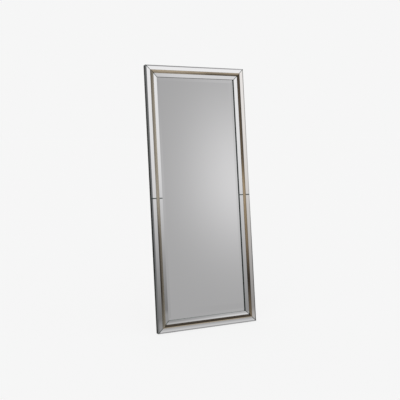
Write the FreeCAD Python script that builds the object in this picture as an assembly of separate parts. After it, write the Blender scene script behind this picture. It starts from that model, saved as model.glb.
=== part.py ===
import FreeCAD, Part

import math
import os

# A tall floor mirror that leans on a wall, with a mirror-clad frame and a champagne bead.
#
# Every piece is modelled in the mirror's own frame, as if it stood upright: X runs across,
# Z up along the mirror and Y from the front to the back. Y = 0 is the plane of the two edges
# between the bead and the mirror strips. At the end the whole mirror is leaned back about X
# and set down, so that the floor is Z = 0, with X = 0 and Y = 0 in the middle of the part.
#
# Each side of the frame is a bar with one section. A section is drawn as (inward, depth)
# points: inward is measured from the outer edge towards the glass, and depth along Y.
# All sizes are in millimetres and all angles in degrees.

# --- Overall ------------------------------------------------------------------------------------
WIDTH = 650.0
HEIGHT = 1565.0
LEAN = 6.8

# --- Frame face, from the outside to the glass --------------------------------------------------
OUTER_STRIP_WIDTH = 27.5
BEAD_WIDTH = 20.5
INNER_STRIP_WIDTH = 20.5
OUTER_STRIP_TILT = 3.5
INNER_STRIP_TILT = 12.0
STRIP_THICKNESS = 4.0
EDGE_BEVEL_WIDTH = 7.0
EDGE_BEVEL_DEPTH = 1.5
SEAM_BEVEL_WIDTH = 2.5
SEAM_BEVEL_DEPTH = 1.0
SEAM_GAP = 1.0
STRIP_MITRE_GAP = 0.6
BEAD_RISE = 8.0
BEAD_SIDE_GAP = 0.15
BEAD_MITRE_GAP = 0.2

# --- Frame core ---------------------------------------------------------------------------------
CORE_DEPTH = 32.0
CORE_SET_BACK = 0.5
LIP_DEPTH = 15.0
LIP_OVERLAP = 6.0

# --- Main glass and what holds it ---------------------------------------------------------------
GLASS_THICKNESS = 5.0
GLASS_BEVEL_WIDTH = 25.0
GLASS_BEVEL_DEPTH = 2.0
GLASS_SEAT_GAP = 0.1
GLASS_SIDE_GAP = 1.0
GLASS_TOP_GAP = 2.0
FILLET_WIDTH = 10.0
FILLET_END_GAP = 0.5
PANEL_THICKNESS = 3.0
PANEL_OVERLAP = 12.5
PANEL_EDGE_GAP = 0.5
PANEL_SCREW_PITCH = 235.0
PANEL_SCREW_FROM_CORNER = 45.0

# --- Corner fixings -----------------------------------------------------------------------------
WEDGE_LEG = 6.0
WEDGE_SHEET = 0.8
WEDGE_DEPTH = 10.0
WEDGE_PLACES = (8.0, 41.0)
PLATE_INSET = 16.0
PLATE_LEG = 70.0
PLATE_WIDTH = 18.0
PLATE_SHEET = 1.5
PLATE_HOLE_FROM_CORNER = 34.0
PLATE_HOLE_SPACING = 26.0

# --- Hangers ------------------------------------------------------------------------------------
HANGER_HEIGHT = 1250.0
HANGER_INSET = 26.0
RING_WIRE_RADIUS = 1.5
RING_HALF_WIDTH = 12.5
RING_LEG = 4.0
RING_CORNER_RADIUS = 3.0
STRAP_SHEET = 1.2
STRAP_WIDTH = 16.0
STRAP_LENGTH = 52.0
STRAP_CORNER_RADIUS = 4.0
STRAP_LOOP_CLEARANCE = 0.08
STRAP_HOLE_FROM_PIVOT = 27.0
STRAP_HOLE_SPACING = 16.0

# --- Screws: all are round-headed with a cross recess -------------------------------------------
SCREW_RADIUS = 1.5
SCREW_LENGTH = 14.0
SCREW_TIP_LENGTH = 3.0
SCREW_HEAD_RADIUS = 3.0
SCREW_HEAD_HEIGHT = 1.7
SCREW_RECESS_WIDTH = 0.7
SCREW_RECESS_LENGTH = 3.4
SCREW_RECESS_DEPTH = 0.9
SCREW_CLEARANCE = 0.05

# --- Rubber -------------------------------------------------------------------------------------
BUMPER_RADIUS = 12.0
BUMPER_THICKNESS = 8.0
BUMPER_EDGE_RADIUS = 1.5
BUMPER_FROM_END = 115.0
PAD_LENGTH = 60.0
PAD_WIDTH = 16.0
PAD_THICKNESS = 3.0
PAD_FROM_SIDE = 55.0
PAD_FROM_BACK = 2.0

# --- Derived places -----------------------------------------------------------------------------
OUTER_SLOPE = math.tan(math.radians(OUTER_STRIP_TILT))
INNER_SLOPE = math.tan(math.radians(INNER_STRIP_TILT))
BEAD_END = OUTER_STRIP_WIDTH + BEAD_WIDTH
FACE_WIDTH = BEAD_END + INNER_STRIP_WIDTH
SIGHT_EDGE = FACE_WIDTH - CORE_SET_BACK
REBATE_EDGE = SIGHT_EDGE - LIP_OVERLAP
PANEL_SEAT = REBATE_EDGE - PANEL_OVERLAP
PANEL_FRONT = CORE_DEPTH - PANEL_THICKNESS
PIVOT_DEPTH = CORE_DEPTH + RING_WIRE_RADIUS + STRAP_LOOP_CLEARANCE + STRAP_SHEET

# The lip bears on the glass bevel, nearest to its flat at the bottom, where the glass stands
# on the rebate and the lip covers the most of it.
BEVEL_DROP_AT_LIP = GLASS_BEVEL_DEPTH * (1.0 - LIP_OVERLAP / GLASS_BEVEL_WIDTH)
GLASS_FRONT = LIP_DEPTH + GLASS_SEAT_GAP - BEVEL_DROP_AT_LIP
GLASS_BACK = GLASS_FRONT + GLASS_THICKNESS

# Two lengths closer than this are the same.
SAME = 1e-6

ACROSS = FreeCAD.Vector(1, 0, 0)
BACKWARD = FreeCAD.Vector(0, 1, 0)
UPWARD = FreeCAD.Vector(0, 0, 1)
ORIGIN = FreeCAD.Vector(0, 0, 0)


# --- Helpers ------------------------------------------------------------------------------------
def box(x_low, x_high, y_low, y_high, z_low, z_high):
    """A box between two corners."""
    corner = FreeCAD.Vector(x_low, y_low, z_low)
    return Part.makeBox(x_high - x_low, y_high - y_low, z_high - z_low, corner)


def face_of(points):
    """A flat face with straight edges through the points."""
    return Part.Face(Part.makePolygon(list(points) + [points[0]]))


def solid_of(faces):
    """A solid closed by flat faces."""
    solid = Part.Solid(Part.Shell(faces))
    if solid.Volume < 0:
        solid.reverse()
    return solid


def moved(shape, x=0.0, y=0.0, z=0.0):
    """The shape, moved."""
    copy = shape.copy()
    copy.translate(FreeCAD.Vector(x, y, z))
    return copy


def turned(shape, axis, angle, centre=ORIGIN):
    """The shape, turned about an axis through the centre."""
    copy = shape.copy()
    copy.rotate(centre, axis, angle)
    return copy


def edges_at(shape, depth):
    """The edges of a round piece that lie at this depth."""
    return [edge for edge in shape.Edges if abs(edge.CenterOfMass.y - depth) < SAME]


# --- The four sides -----------------------------------------------------------------------------
# A side is drawn along the bottom edge, centred on X = 0 with its outer edge on Z = 0, and then
# turned about Y and moved to its own edge of the mirror.
SIDES = {
    "bottom": (WIDTH, 0.0, (0.0, 0.0)),
    "top": (WIDTH, 180.0, (0.0, HEIGHT)),
    "left": (HEIGHT, 90.0, (-WIDTH / 2, HEIGHT / 2)),
    "right": (HEIGHT, -90.0, (WIDTH / 2, HEIGHT / 2)),
}


def on_side(shape, side):
    """Moves a shape from the bottom edge to the named side."""
    _, angle, (x, z) = SIDES[side]
    return moved(turned(shape, BACKWARD, angle), x=x, z=z)


def mitre_mask(length, mitre_gap):
    """The space between the two mitre planes of a side, less half the gap at each."""
    half = length / 2 - mitre_gap / math.sqrt(2)
    far = half - FACE_WIDTH
    outline = [(-half, 0.0), (half, 0.0), (far, FACE_WIDTH), (-far, FACE_WIDTH)]
    front = -2 * BEAD_RISE
    face = face_of([FreeCAD.Vector(x, front, z) for x, z in outline])
    return face.extrude(FreeCAD.Vector(0, 2 * CORE_DEPTH - front, 0))


def mitred_bar(section, length, mitre_gap):
    """A bar of the given section face, mitred at both ends."""
    bar = section.extrude(FreeCAD.Vector(length, 0, 0))
    return bar.common(mitre_mask(length, mitre_gap))


def section_face(points, length):
    """A section of (inward, depth) points, at the start of a side of this length."""
    return face_of([FreeCAD.Vector(-length / 2, depth, inward) for inward, depth in points])


# --- Mirror strips ------------------------------------------------------------------------------
def outer_front(inward):
    """Depth of the outer strip's flat front."""
    return (OUTER_STRIP_WIDTH - inward) * OUTER_SLOPE


def inner_front(inward):
    """Depth of the inner strip's flat front."""
    return (inward - BEAD_END) * INNER_SLOPE


def outer_strip_section():
    """Flat glass with a ground bevel along its outer edge."""
    return [
        (0.0, outer_front(0.0) + EDGE_BEVEL_DEPTH),
        (EDGE_BEVEL_WIDTH, outer_front(EDGE_BEVEL_WIDTH)),
        (OUTER_STRIP_WIDTH, outer_front(OUTER_STRIP_WIDTH)),
        (OUTER_STRIP_WIDTH, outer_front(OUTER_STRIP_WIDTH) + STRIP_THICKNESS),
        (0.0, outer_front(0.0) + STRIP_THICKNESS),
    ]


def inner_strip_section():
    """Flat glass that falls towards the main glass."""
    return [
        (BEAD_END, inner_front(BEAD_END)),
        (FACE_WIDTH, inner_front(FACE_WIDTH)),
        (FACE_WIDTH, inner_front(FACE_WIDTH) + STRIP_THICKNESS),
        (BEAD_END, inner_front(BEAD_END) + STRIP_THICKNESS),
    ]


def seam_cutter(start, end, front_of):
    """What the middle seam takes out of a side's strip: the gap, and a ground bevel on each end."""
    half_gap = SEAM_GAP / 2
    reach = half_gap + SEAM_BEVEL_WIDTH
    lift = SEAM_BEVEL_DEPTH / SEAM_BEVEL_WIDTH * half_gap + SEAM_BEVEL_DEPTH
    above = -STRIP_THICKNESS
    outline = [(-reach, 0.0), (0.0, lift), (reach, 0.0), (reach, above), (-reach, above)]
    face = face_of([FreeCAD.Vector(x, front_of(start) + y, start) for x, y in outline])
    bevels = face.extrude(FreeCAD.Vector(0, front_of(end) - front_of(start), end - start))
    gap = box(-half_gap, half_gap, -CORE_DEPTH, CORE_DEPTH, start, end)
    return bevels.fuse(gap)


def strips(kind, section, start, end, front_of):
    """The six strips of one ring: whole at the top and bottom, two lengths on each long side."""
    made = {}
    for side, (length, _, _) in SIDES.items():
        bar = mitred_bar(section_face(section, length), length, STRIP_MITRE_GAP)
        if side in ("top", "bottom"):
            made[f"{kind}_strip_{side}"] = on_side(bar, side)
            continue
        halves = on_side(bar.cut(seam_cutter(start, end, front_of)), side).Solids
        lower, upper = sorted(halves, key=lambda solid: solid.CenterOfMass.z)
        made[f"{kind}_strip_{side}_lower"] = lower
        made[f"{kind}_strip_{side}_upper"] = upper
    return made


# --- Bead ---------------------------------------------------------------------------------------
def bead_section(length):
    """A rounded moulding that stands on the core between the two strips."""
    x = -length / 2
    low = OUTER_STRIP_WIDTH + BEAD_SIDE_GAP
    high = BEAD_END - BEAD_SIDE_GAP
    seat = STRIP_THICKNESS
    foot_low = FreeCAD.Vector(x, seat, low)
    foot_high = FreeCAD.Vector(x, seat, high)
    edge_low = FreeCAD.Vector(x, 0, low)
    edge_high = FreeCAD.Vector(x, 0, high)
    crown = FreeCAD.Vector(x, -BEAD_RISE, (low + high) / 2)
    edges = [
        Part.makeLine(foot_low, edge_low),
        Part.Arc(edge_low, crown, edge_high).toShape(),
        Part.makeLine(edge_high, foot_high),
        Part.makeLine(foot_high, foot_low),
    ]
    return Part.Face(Part.Wire(edges))


def beads():
    """One unbroken bead on each side."""
    made = {}
    for side, (length, _, _) in SIDES.items():
        made[f"bead_{side}"] = on_side(mitred_bar(bead_section(length), length, BEAD_MITRE_GAP), side)
    return made


# --- Core ---------------------------------------------------------------------------------------
def core_section():
    """The core: seats for the strips and the bead in front, rebates for glass and panel behind."""
    strip_back = STRIP_THICKNESS
    return [
        (CORE_SET_BACK, CORE_DEPTH),
        (CORE_SET_BACK, outer_front(CORE_SET_BACK) + strip_back),
        (OUTER_STRIP_WIDTH, strip_back),
        (BEAD_END, strip_back),
        (SIGHT_EDGE, inner_front(SIGHT_EDGE) + strip_back),
        (SIGHT_EDGE, LIP_DEPTH),
        (REBATE_EDGE, LIP_DEPTH),
        (REBATE_EDGE, PANEL_FRONT),
        (PANEL_SEAT, PANEL_FRONT),
        (PANEL_SEAT, CORE_DEPTH),
    ]


def core_rails(holes):
    """The four mitred rails, with the holes that the fixings take."""
    names = {"bottom": "bottom_rail", "top": "top_rail", "left": "left_stile", "right": "right_stile"}
    made = {}
    for side, (length, _, _) in SIDES.items():
        bar = on_side(mitred_bar(section_face(core_section(), length), length, 0.0), side)
        near = [hole for hole in holes if bar.BoundBox.intersect(hole.BoundBox)]
        made[names[side]] = bar.cut(near)
    return made


# --- Corners ------------------------------------------------------------------------------------
# A corner fixing is drawn at the bottom left corner and mirrored to the other three.
CORNERS = {
    "bottom_left": (1, 1),
    "bottom_right": (-1, 1),
    "top_left": (1, -1),
    "top_right": (-1, -1),
}


def in_corner(shape, corner):
    """Mirrors a shape drawn from the corner point (0, 0) inward, and moves it to the named corner."""
    x_sign, z_sign = CORNERS[corner]
    placed = shape.copy()
    if x_sign < 0:
        placed = placed.mirror(ORIGIN, ACROSS)
    if z_sign < 0:
        placed = placed.mirror(ORIGIN, UPWARD)
    return moved(placed, x=-x_sign * WIDTH / 2, z=HEIGHT if z_sign < 0 else 0.0)


def wedge(place):
    """A V-shaped sheet wedge across the mitre, with a leg in each of the two rails."""
    front = CORE_DEPTH - WEDGE_DEPTH
    edge = place + WEDGE_SHEET
    tip = place + WEDGE_LEG
    flat_leg = box(place, tip, front, CORE_DEPTH, place, edge)
    upright_leg = box(place, edge, front, CORE_DEPTH, place, tip)
    return flat_leg.fuse(upright_leg).removeSplitter()


def mitre_wedges():
    """Two wedges in each mitre, driven in from the back."""
    return [in_corner(wedge(place), corner) for corner in CORNERS for place in WEDGE_PLACES]


def plate_holes():
    """Places of the four screws of a corner plate, inward from the corner along both rails."""
    middle = PLATE_INSET + PLATE_WIDTH / 2
    along = [PLATE_INSET + PLATE_HOLE_FROM_CORNER + step * PLATE_HOLE_SPACING for step in range(2)]
    return [(far, middle) for far in along] + [(middle, far) for far in along]


def corner_plate():
    """A flat L-shaped steel plate with four screw holes."""
    inner = PLATE_INSET + PLATE_WIDTH
    tip = PLATE_INSET + PLATE_LEG
    outline = [
        (PLATE_INSET, PLATE_INSET), (tip, PLATE_INSET), (tip, inner),
        (inner, inner), (inner, tip), (PLATE_INSET, tip),
    ]
    face = face_of([FreeCAD.Vector(x, CORE_DEPTH, z) for x, z in outline])
    plate = face.extrude(FreeCAD.Vector(0, PLATE_SHEET, 0))
    return plate.cut([screw_hole(x, CORE_DEPTH, z) for x, z in plate_holes()])


# --- Screws -------------------------------------------------------------------------------------
def screw(x, seat, z):
    """A screw driven towards the front, with its head on the given depth."""
    shank_length = SCREW_LENGTH - SCREW_TIP_LENGTH
    forward = FreeCAD.Vector(0, -1, 0)
    start = FreeCAD.Vector(x, seat, z)
    shank = Part.makeCylinder(SCREW_RADIUS, shank_length, start, forward)
    tip_start = FreeCAD.Vector(x, seat - shank_length, z)
    tip = Part.makeCone(SCREW_RADIUS, 0.0, SCREW_TIP_LENGTH, tip_start, forward)
    head = Part.makeCylinder(SCREW_HEAD_RADIUS, SCREW_HEAD_HEIGHT, start, BACKWARD)
    head = head.makeFillet(SCREW_HEAD_HEIGHT / 2, edges_at(head, seat + SCREW_HEAD_HEIGHT))
    floor = seat + SCREW_HEAD_HEIGHT - SCREW_RECESS_DEPTH
    half_length = SCREW_RECESS_LENGTH / 2
    half_width = SCREW_RECESS_WIDTH / 2
    above = seat + 2 * SCREW_HEAD_HEIGHT
    flat_slot = box(x - half_length, x + half_length, floor, above, z - half_width, z + half_width)
    upright_slot = turned(flat_slot, BACKWARD, 90.0, FreeCAD.Vector(x, 0, z))
    return shank.fuse([tip, head]).cut([flat_slot, upright_slot]).removeSplitter()


def screw_hole(x, seat, z):
    """The hole that a screw with its head on this depth goes through."""
    radius = SCREW_RADIUS + SCREW_CLEARANCE
    reach = SCREW_LENGTH + SCREW_CLEARANCE
    start = FreeCAD.Vector(x, seat + SCREW_HEAD_HEIGHT, z)
    return Part.makeCylinder(radius, reach + SCREW_HEAD_HEIGHT, start, FreeCAD.Vector(0, -1, 0))


def even_places(low, high, pitch):
    """Evenly spaced places from low to high, about one pitch apart."""
    steps = max(1, round((high - low) / pitch))
    return [low + (high - low) * step / steps for step in range(steps + 1)]


def panel_screw_places():
    """Screws all round the back panel, in the middle of the band where it lies on the core."""
    band = PANEL_SEAT + PANEL_OVERLAP / 2
    from_corner = PANEL_SEAT + PANEL_SCREW_FROM_CORNER
    places = []
    for x in even_places(-WIDTH / 2 + from_corner, WIDTH / 2 - from_corner, PANEL_SCREW_PITCH):
        places += [(x, band), (x, HEIGHT - band)]
    for z in even_places(from_corner, HEIGHT - from_corner, PANEL_SCREW_PITCH):
        places += [(-WIDTH / 2 + band, z), (WIDTH / 2 - band, z)]
    return places


def plate_screw_places():
    """The screws of all four corner plates."""
    places = []
    for x_sign, z_sign in CORNERS.values():
        base_z = 0.0 if z_sign > 0 else HEIGHT
        places += [(-x_sign * (WIDTH / 2 - x), base_z + z_sign * z) for x, z in plate_holes()]
    return places


def strap_screw_places():
    """The screws of both hangers, in a line below each pivot."""
    below = [STRAP_HOLE_FROM_PIVOT + step * STRAP_HOLE_SPACING for step in range(2)]
    return [(x, HANGER_HEIGHT - drop) for x in hanger_places().values() for drop in below]


# --- Main glass, fillets and panel --------------------------------------------------------------
def mirror_glass():
    """The main glass: one bevelled sheet that stands on the bottom of the rebate."""
    half = WIDTH / 2 - REBATE_EDGE - GLASS_SIDE_GAP
    low = REBATE_EDGE
    high = HEIGHT - REBATE_EDGE - GLASS_TOP_GAP

    def corners(inset, depth):
        left, right = -half + inset, half - inset
        outline = [(left, low + inset), (right, low + inset), (right, high - inset), (left, high - inset)]
        return [FreeCAD.Vector(x, depth, z) for x, z in outline]

    rings = [
        corners(GLASS_BEVEL_WIDTH, GLASS_FRONT),
        corners(0.0, GLASS_FRONT + GLASS_BEVEL_DEPTH),
        corners(0.0, GLASS_BACK),
    ]
    faces = [face_of(rings[0]), face_of(rings[-1])]
    for near, far in zip(rings, rings[1:]):
        for first in range(4):
            second = (first + 1) % 4
            faces.append(face_of([near[first], near[second], far[second], far[first]]))
    return solid_of(faces)


def glass_fillets():
    """Timber fillets in the rebate, between the glass and the back panel."""
    outer = WIDTH / 2 - REBATE_EDGE
    inner = outer - FILLET_WIDTH
    bottom = REBATE_EDGE
    top = HEIGHT - REBATE_EDGE
    side_low = bottom + FILLET_WIDTH + FILLET_END_GAP
    side_high = top - FILLET_WIDTH - FILLET_END_GAP
    return {
        "glass_fillet_bottom": box(-outer, outer, GLASS_BACK, PANEL_FRONT, bottom, bottom + FILLET_WIDTH),
        "glass_fillet_top": box(-outer, outer, GLASS_BACK, PANEL_FRONT, top - FILLET_WIDTH, top),
        "glass_fillet_left": box(-outer, -inner, GLASS_BACK, PANEL_FRONT, side_low, side_high),
        "glass_fillet_right": box(inner, outer, GLASS_BACK, PANEL_FRONT, side_low, side_high),
    }


def back_panel():
    """The hardboard panel, flush with the back of the core."""
    inset = PANEL_SEAT + PANEL_EDGE_GAP
    half = WIDTH / 2 - inset
    sheet = box(-half, half, PANEL_FRONT, CORE_DEPTH, inset, HEIGHT - inset)
    return sheet.cut([screw_hole(x, CORE_DEPTH, z) for x, z in panel_screw_places()])


# --- Hangers ------------------------------------------------------------------------------------
def hanger_places():
    """Where the two hangers stand across the mirror."""
    return {"left": -WIDTH / 2 + HANGER_INSET, "right": WIDTH / 2 - HANGER_INSET}


def hanger_strap(x):
    """A steel strip folded round the ring's straight bar, with both layers screwed to the stile."""
    bore = RING_WIRE_RADIUS + STRAP_LOOP_CLEARANCE
    start = FreeCAD.Vector(x - STRAP_WIDTH / 2, PIVOT_DEPTH, HANGER_HEIGHT)
    loop = Part.makeCylinder(bore + STRAP_SHEET, STRAP_WIDTH, start, ACROSS)
    foot = HANGER_HEIGHT - STRAP_LENGTH
    half = STRAP_WIDTH / 2
    layers = box(x - half, x + half, CORE_DEPTH, CORE_DEPTH + 2 * STRAP_SHEET, foot, HANGER_HEIGHT)
    foot_edges = [edge for edge in layers.Edges if abs(edge.CenterOfMass.z - foot) < SAME]
    corners = [edge for edge in foot_edges if abs(edge.BoundBox.YLength - 2 * STRAP_SHEET) < SAME]
    layers = layers.makeFillet(STRAP_CORNER_RADIUS, corners)
    bar_space = Part.makeCylinder(bore, STRAP_WIDTH, start, ACROSS)
    seat = CORE_DEPTH + 2 * STRAP_SHEET
    holes = [screw_hole(x, seat, z) for place_x, z in strap_screw_places() if place_x == x]
    return loop.fuse(layers).removeSplitter().cut([bar_space] + holes)


def hanger_ring(x):
    """A D-shaped wire ring, hanging plumb from its straight bar when the mirror leans."""
    half = RING_HALF_WIDTH
    corner = RING_CORNER_RADIUS
    slant = corner * (1.0 - math.sqrt(0.5))

    def at(across, down):
        return FreeCAD.Vector(across, 0, -down)

    leg_end = corner + RING_LEG
    path = Part.Wire([
        Part.makeLine(at(0, 0), at(half - corner, 0)),
        Part.Arc(at(half - corner, 0), at(half - slant, slant), at(half, corner)).toShape(),
        Part.makeLine(at(half, corner), at(half, leg_end)),
        Part.Arc(at(half, leg_end), at(0, leg_end + half), at(-half, leg_end)).toShape(),
        Part.makeLine(at(-half, leg_end), at(-half, corner)),
        Part.Arc(at(-half, corner), at(-half + slant, slant), at(-half + corner, 0)).toShape(),
        Part.makeLine(at(-half + corner, 0), at(0, 0)),
    ])
    wire = Part.Wire([Part.makeCircle(RING_WIRE_RADIUS, ORIGIN, ACROSS)])
    ring = path.makePipeShell([wire], True, False)
    if ring.Volume < 0:
        ring.reverse()
    hanging = turned(ring, ACROSS, LEAN)
    return moved(hanging, x=x, y=PIVOT_DEPTH, z=HANGER_HEIGHT)


# --- Rubber -------------------------------------------------------------------------------------
def wall_bumpers():
    """Round bumpers on the back of the stiles, near the four corners."""
    made = []
    for x in hanger_places().values():
        for z in (BUMPER_FROM_END, HEIGHT - BUMPER_FROM_END):
            base = FreeCAD.Vector(x, CORE_DEPTH, z)
            disc = Part.makeCylinder(BUMPER_RADIUS, BUMPER_THICKNESS, base, BACKWARD)
            rim = edges_at(disc, CORE_DEPTH + BUMPER_THICKNESS)
            made.append(disc.makeFillet(BUMPER_EDGE_RADIUS, rim))
    return made


def floor_pads():
    """Two rubber strips under the bottom rail, near its back edge."""
    back = CORE_DEPTH - PAD_FROM_BACK
    left = -WIDTH / 2 + PAD_FROM_SIDE
    bottom = CORE_SET_BACK - PAD_THICKNESS
    strip = box(left, left + PAD_LENGTH, back - PAD_WIDTH, back, bottom, CORE_SET_BACK)
    return [strip, strip.mirror(ORIGIN, ACROSS)]


# --- Assembly -----------------------------------------------------------------------------------
def upright_pieces():
    """Every piece in the mirror's own frame, by name. A list is a group of like solids."""
    strap_seat = CORE_DEPTH + 2 * STRAP_SHEET
    plate_seat = CORE_DEPTH + PLATE_SHEET
    screws = {
        "back_panel_screws": [(x, CORE_DEPTH, z) for x, z in panel_screw_places()],
        "corner_plate_screws": [(x, plate_seat, z) for x, z in plate_screw_places()],
        "hanger_screws": [(x, strap_seat, z) for x, z in strap_screw_places()],
    }
    wedges = mitre_wedges()
    holes = wedges + [screw_hole(*place) for places in screws.values() for place in places]

    pieces = core_rails(holes)
    outer = outer_strip_section()
    pieces.update(strips("outer", outer, 0.0, OUTER_STRIP_WIDTH, outer_front))
    inner = inner_strip_section()
    pieces.update(strips("inner", inner, BEAD_END, FACE_WIDTH, inner_front))
    pieces.update(beads())
    pieces["mirror_glass"] = mirror_glass()
    pieces.update(glass_fillets())
    pieces["back_panel"] = back_panel()
    for corner in CORNERS:
        pieces[f"corner_plate_{corner}"] = in_corner(corner_plate(), corner)
    pieces["mitre_wedges"] = wedges
    for name, places in screws.items():
        pieces[name] = [screw(*place) for place in places]
    for side, x in hanger_places().items():
        pieces[f"hanger_strap_{side}"] = hanger_strap(x)
        pieces[f"hanger_ring_{side}"] = hanger_ring(x)
    pieces["wall_bumpers"] = wall_bumpers()
    pieces["floor_pads"] = floor_pads()
    return pieces


def leaned(pieces):
    """Leans every piece back, sets the mirror on the floor and centres it front to back."""
    tilted = {}
    for name, piece in pieces.items():
        solids = piece if isinstance(piece, list) else [piece]
        shape = Part.makeCompound(solids) if len(solids) > 1 else solids[0]
        tilted[name] = turned(shape, ACROSS, -LEAN)
    bounds = Part.makeCompound(list(tilted.values())).optimalBoundingBox(False, False)
    middle = (bounds.YMin + bounds.YMax) / 2
    return {name: moved(shape, y=-middle, z=-bounds.ZMin) for name, shape in tilted.items()}


os.makedirs("parts", exist_ok=True)
for node, shape in leaned(upright_pieces()).items():
    shape.exportStep(f"parts/{node}.step")
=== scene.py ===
import logging
import math
from dataclasses import dataclass, field
from enum import Enum

import bpy
from mathutils import Matrix, Vector


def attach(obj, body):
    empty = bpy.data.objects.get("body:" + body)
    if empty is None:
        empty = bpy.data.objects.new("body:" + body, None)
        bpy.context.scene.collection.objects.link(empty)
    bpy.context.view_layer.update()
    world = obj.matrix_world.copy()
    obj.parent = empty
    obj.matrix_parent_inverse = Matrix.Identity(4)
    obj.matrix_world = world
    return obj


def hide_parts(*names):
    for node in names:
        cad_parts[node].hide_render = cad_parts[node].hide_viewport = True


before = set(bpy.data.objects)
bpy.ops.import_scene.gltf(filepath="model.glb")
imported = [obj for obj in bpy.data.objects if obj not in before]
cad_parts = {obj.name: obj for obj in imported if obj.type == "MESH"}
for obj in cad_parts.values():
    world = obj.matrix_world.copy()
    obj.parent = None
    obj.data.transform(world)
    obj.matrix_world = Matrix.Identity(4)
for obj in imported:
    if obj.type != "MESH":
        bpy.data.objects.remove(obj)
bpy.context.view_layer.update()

LOG = logging.getLogger("floor_mirror")

Socket = bpy.types.NodeSocket
Sockets = dict[str, Socket]
Colour = tuple[float, float, float]
Pair = tuple[float, float]

MM = 0.001
GLASS_INDEX = 1.52
MIRROR_BODY = "mirror"
FORWARD = Vector((0.0, -1.0, 0.0))


class Side(Enum):
    """The four sides of the frame, each with the direction that points outwards."""

    BOTTOM = (0.0, 0.0, -1.0)
    TOP = (0.0, 0.0, 1.0)
    LEFT = (-1.0, 0.0, 0.0)
    RIGHT = (1.0, 0.0, 0.0)

    @property
    def word(self) -> str:
        """The side's name as the CAD nodes spell it."""
        return self.name.lower()

    @property
    def outward(self) -> Vector:
        """The outward direction in the mirror's own frame."""
        return Vector(self.value)

    @property
    def upright(self) -> bool:
        """Whether the side is one of the two long upright ones."""
        return self in (Side.LEFT, Side.RIGHT)


@dataclass(frozen=True)
class Lean:
    """How the mirror's own upright frame stands in the world."""

    degrees: float = 6.8
    origin: tuple[float, float, float] = (0.0, -0.107004, 0.006035)

    @property
    def matrix(self) -> Matrix:
        """The turn and move from the upright frame to the world."""
        return Matrix.Translation(self.origin) @ Matrix.Rotation(-math.radians(self.degrees), 4, "X")

    def direction(self, vector: Vector) -> Vector:
        """Turns a direction of the upright frame into the world, with length 1."""
        return (self.matrix.to_3x3() @ vector).normalized()


@dataclass(frozen=True)
class FrameSizes:
    """The driving sizes of the frame, in metres and degrees, as the CAD source states them."""

    width: float = 650.0 * MM
    height: float = 1565.0 * MM
    outer_strip: float = 27.5 * MM
    bead: float = 20.5 * MM
    outer_tilt: float = 3.5
    inner_tilt: float = 12.0
    strip_thickness: float = 4.0 * MM
    bead_rise: float = 8.0 * MM

    def length(self, side: Side) -> float:
        """The full length of a side at its outer edge."""
        return self.height if side.upright else self.width


LEAN = Lean()
SIZES = FrameSizes()


def toned(colour: Colour, factor: float) -> Colour:
    """A colour with each part times a factor."""
    return tuple(factor * part for part in colour)


def add_object(name: str, data: bpy.types.ID) -> bpy.types.Object:
    """Adds an object to the scene.

    Args:
        name: The object's name.
        data: Its mesh, light or camera.

    Returns:
        The new object.
    """
    made = bpy.data.objects.new(name, data)
    bpy.context.scene.collection.objects.link(made)
    return made


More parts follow.
